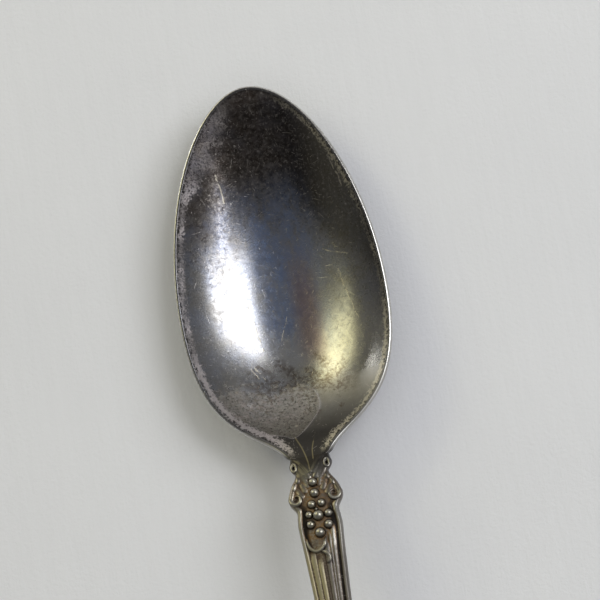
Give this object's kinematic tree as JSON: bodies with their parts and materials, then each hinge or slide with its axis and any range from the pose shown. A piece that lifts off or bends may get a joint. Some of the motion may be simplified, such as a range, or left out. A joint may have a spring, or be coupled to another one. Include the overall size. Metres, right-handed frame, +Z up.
{
  "type": "table spoon",
  "caption": "Silver-plated table spoon with an egg-shaped bowl, scrolled neck, berry-cluster shoulder and flared handle.",
  "frame": {"origin": "on the table surface, midway along the spoon, on its centre plane", "axes": "+Y along the spoon towards the bowl's tip, +Z up out of the bowl, +X to the right of the bowl seen from the handle"},
  "size_m": [0.044, 0.212, 0.0203],
  "materials": {
    "bowl_silver": "worn polished silver plate, dark tarnish, fine scratches",
    "ornament_silver": "silver plate with brown tarnish in the recesses and bright high points",
    "stem_silver": "satin silver plate with warm tarnish in the grooves"
  },
  "bodies": {
    "root": {"bowl": "bowl_silver", "neck": "ornament_silver", "shoulder": "ornament_silver", "stem": "stem_silver", "handle_end": "ornament_silver"}
  },
  "joints": []
}
